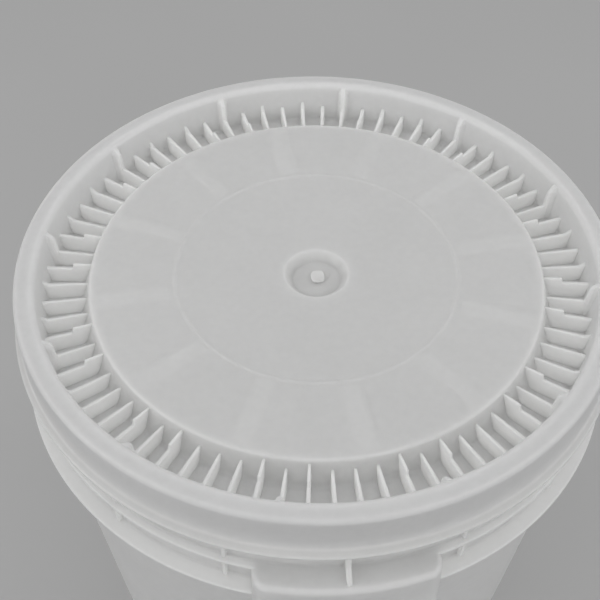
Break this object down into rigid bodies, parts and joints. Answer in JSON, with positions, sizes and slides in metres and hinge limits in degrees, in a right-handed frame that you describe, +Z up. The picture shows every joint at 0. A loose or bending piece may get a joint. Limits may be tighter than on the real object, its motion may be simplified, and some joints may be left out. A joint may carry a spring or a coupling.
{
  "type": "fermenting bucket",
  "caption": "Tapered round plastic pail with a flanged collar and bail ears, closed by a ribbed press-on lid with a seal ring under its rim.",
  "frame": {"origin": "centre of the foot ring, in the plane the pail stands on", "axes": "+Z up through the middle of the lid, Y through the two bail ears, X across them"},
  "size_m": [0.3166, 0.3272, 0.443],
  "materials": {
    "pail": "natural white polyethylene, satin, slightly translucent",
    "lid": "natural white polyethylene, satin",
    "lid_gasket": "soft grey seal rubber"
  },
  "bodies": {
    "pail": {"pail": "pail"},
    "lid": {"lid": "lid", "lid_gasket": "lid_gasket"}
  },
  "joints": [
    {"name": "lid_lift", "type": "slide", "parent": "pail", "child": "lid", "axis": [0, 0, 1], "range_m": [0, 0.12]}
  ]
}
